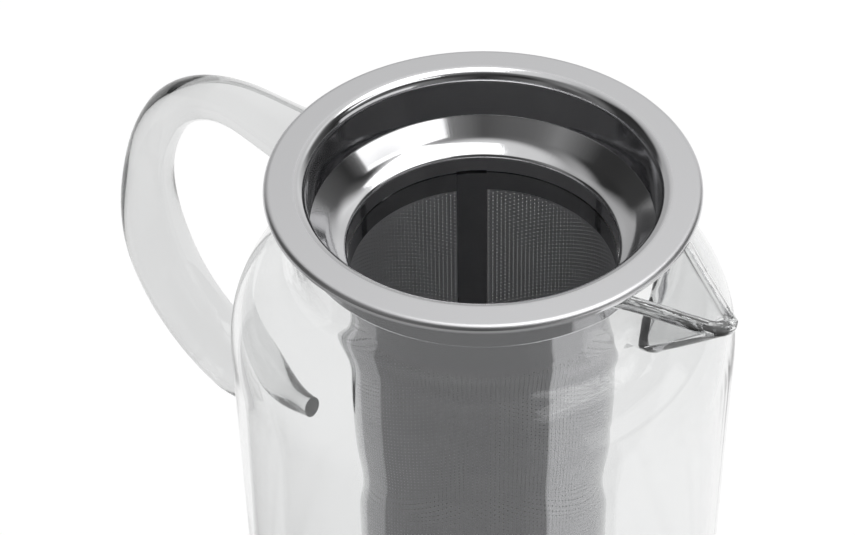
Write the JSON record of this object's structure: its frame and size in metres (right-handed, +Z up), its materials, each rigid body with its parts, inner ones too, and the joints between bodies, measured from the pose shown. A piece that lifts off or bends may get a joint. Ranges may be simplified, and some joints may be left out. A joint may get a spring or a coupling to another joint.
{
  "type": "fruit infuser pitcher",
  "caption": "Cylindrical glass pitcher with pulled spout and fused glass handle, holding a lift-out steel infuser: a flanged collar with a round well and a fine perforated tube.",
  "frame": {"origin": "centre of the jug's flat base, on the jug's axis", "axes": "+Z up along the jug's axis, +X towards the spout, -X towards the handle"},
  "size_m": [0.192, 0.122, 0.2399],
  "materials": {
    "blown_glass": "fire-polished",
    "rod_glass": "fire-polished",
    "polished_steel": "polished well, satin flange",
    "etched_steel": "etched perforated sheet"
  },
  "bodies": {
    "jug": {"jug_body": "blown_glass", "jug_handle": "rod_glass"},
    "infuser": {"infuser_collar": "polished_steel", "infuser_sleeve": "etched_steel", "infuser_base": "etched_steel"}
  },
  "joints": [
    {"name": "infuser_lift", "type": "slide", "parent": "jug", "child": "infuser", "axis": [0, 0, 1], "range_m": [0, 0.215]}
  ]
}
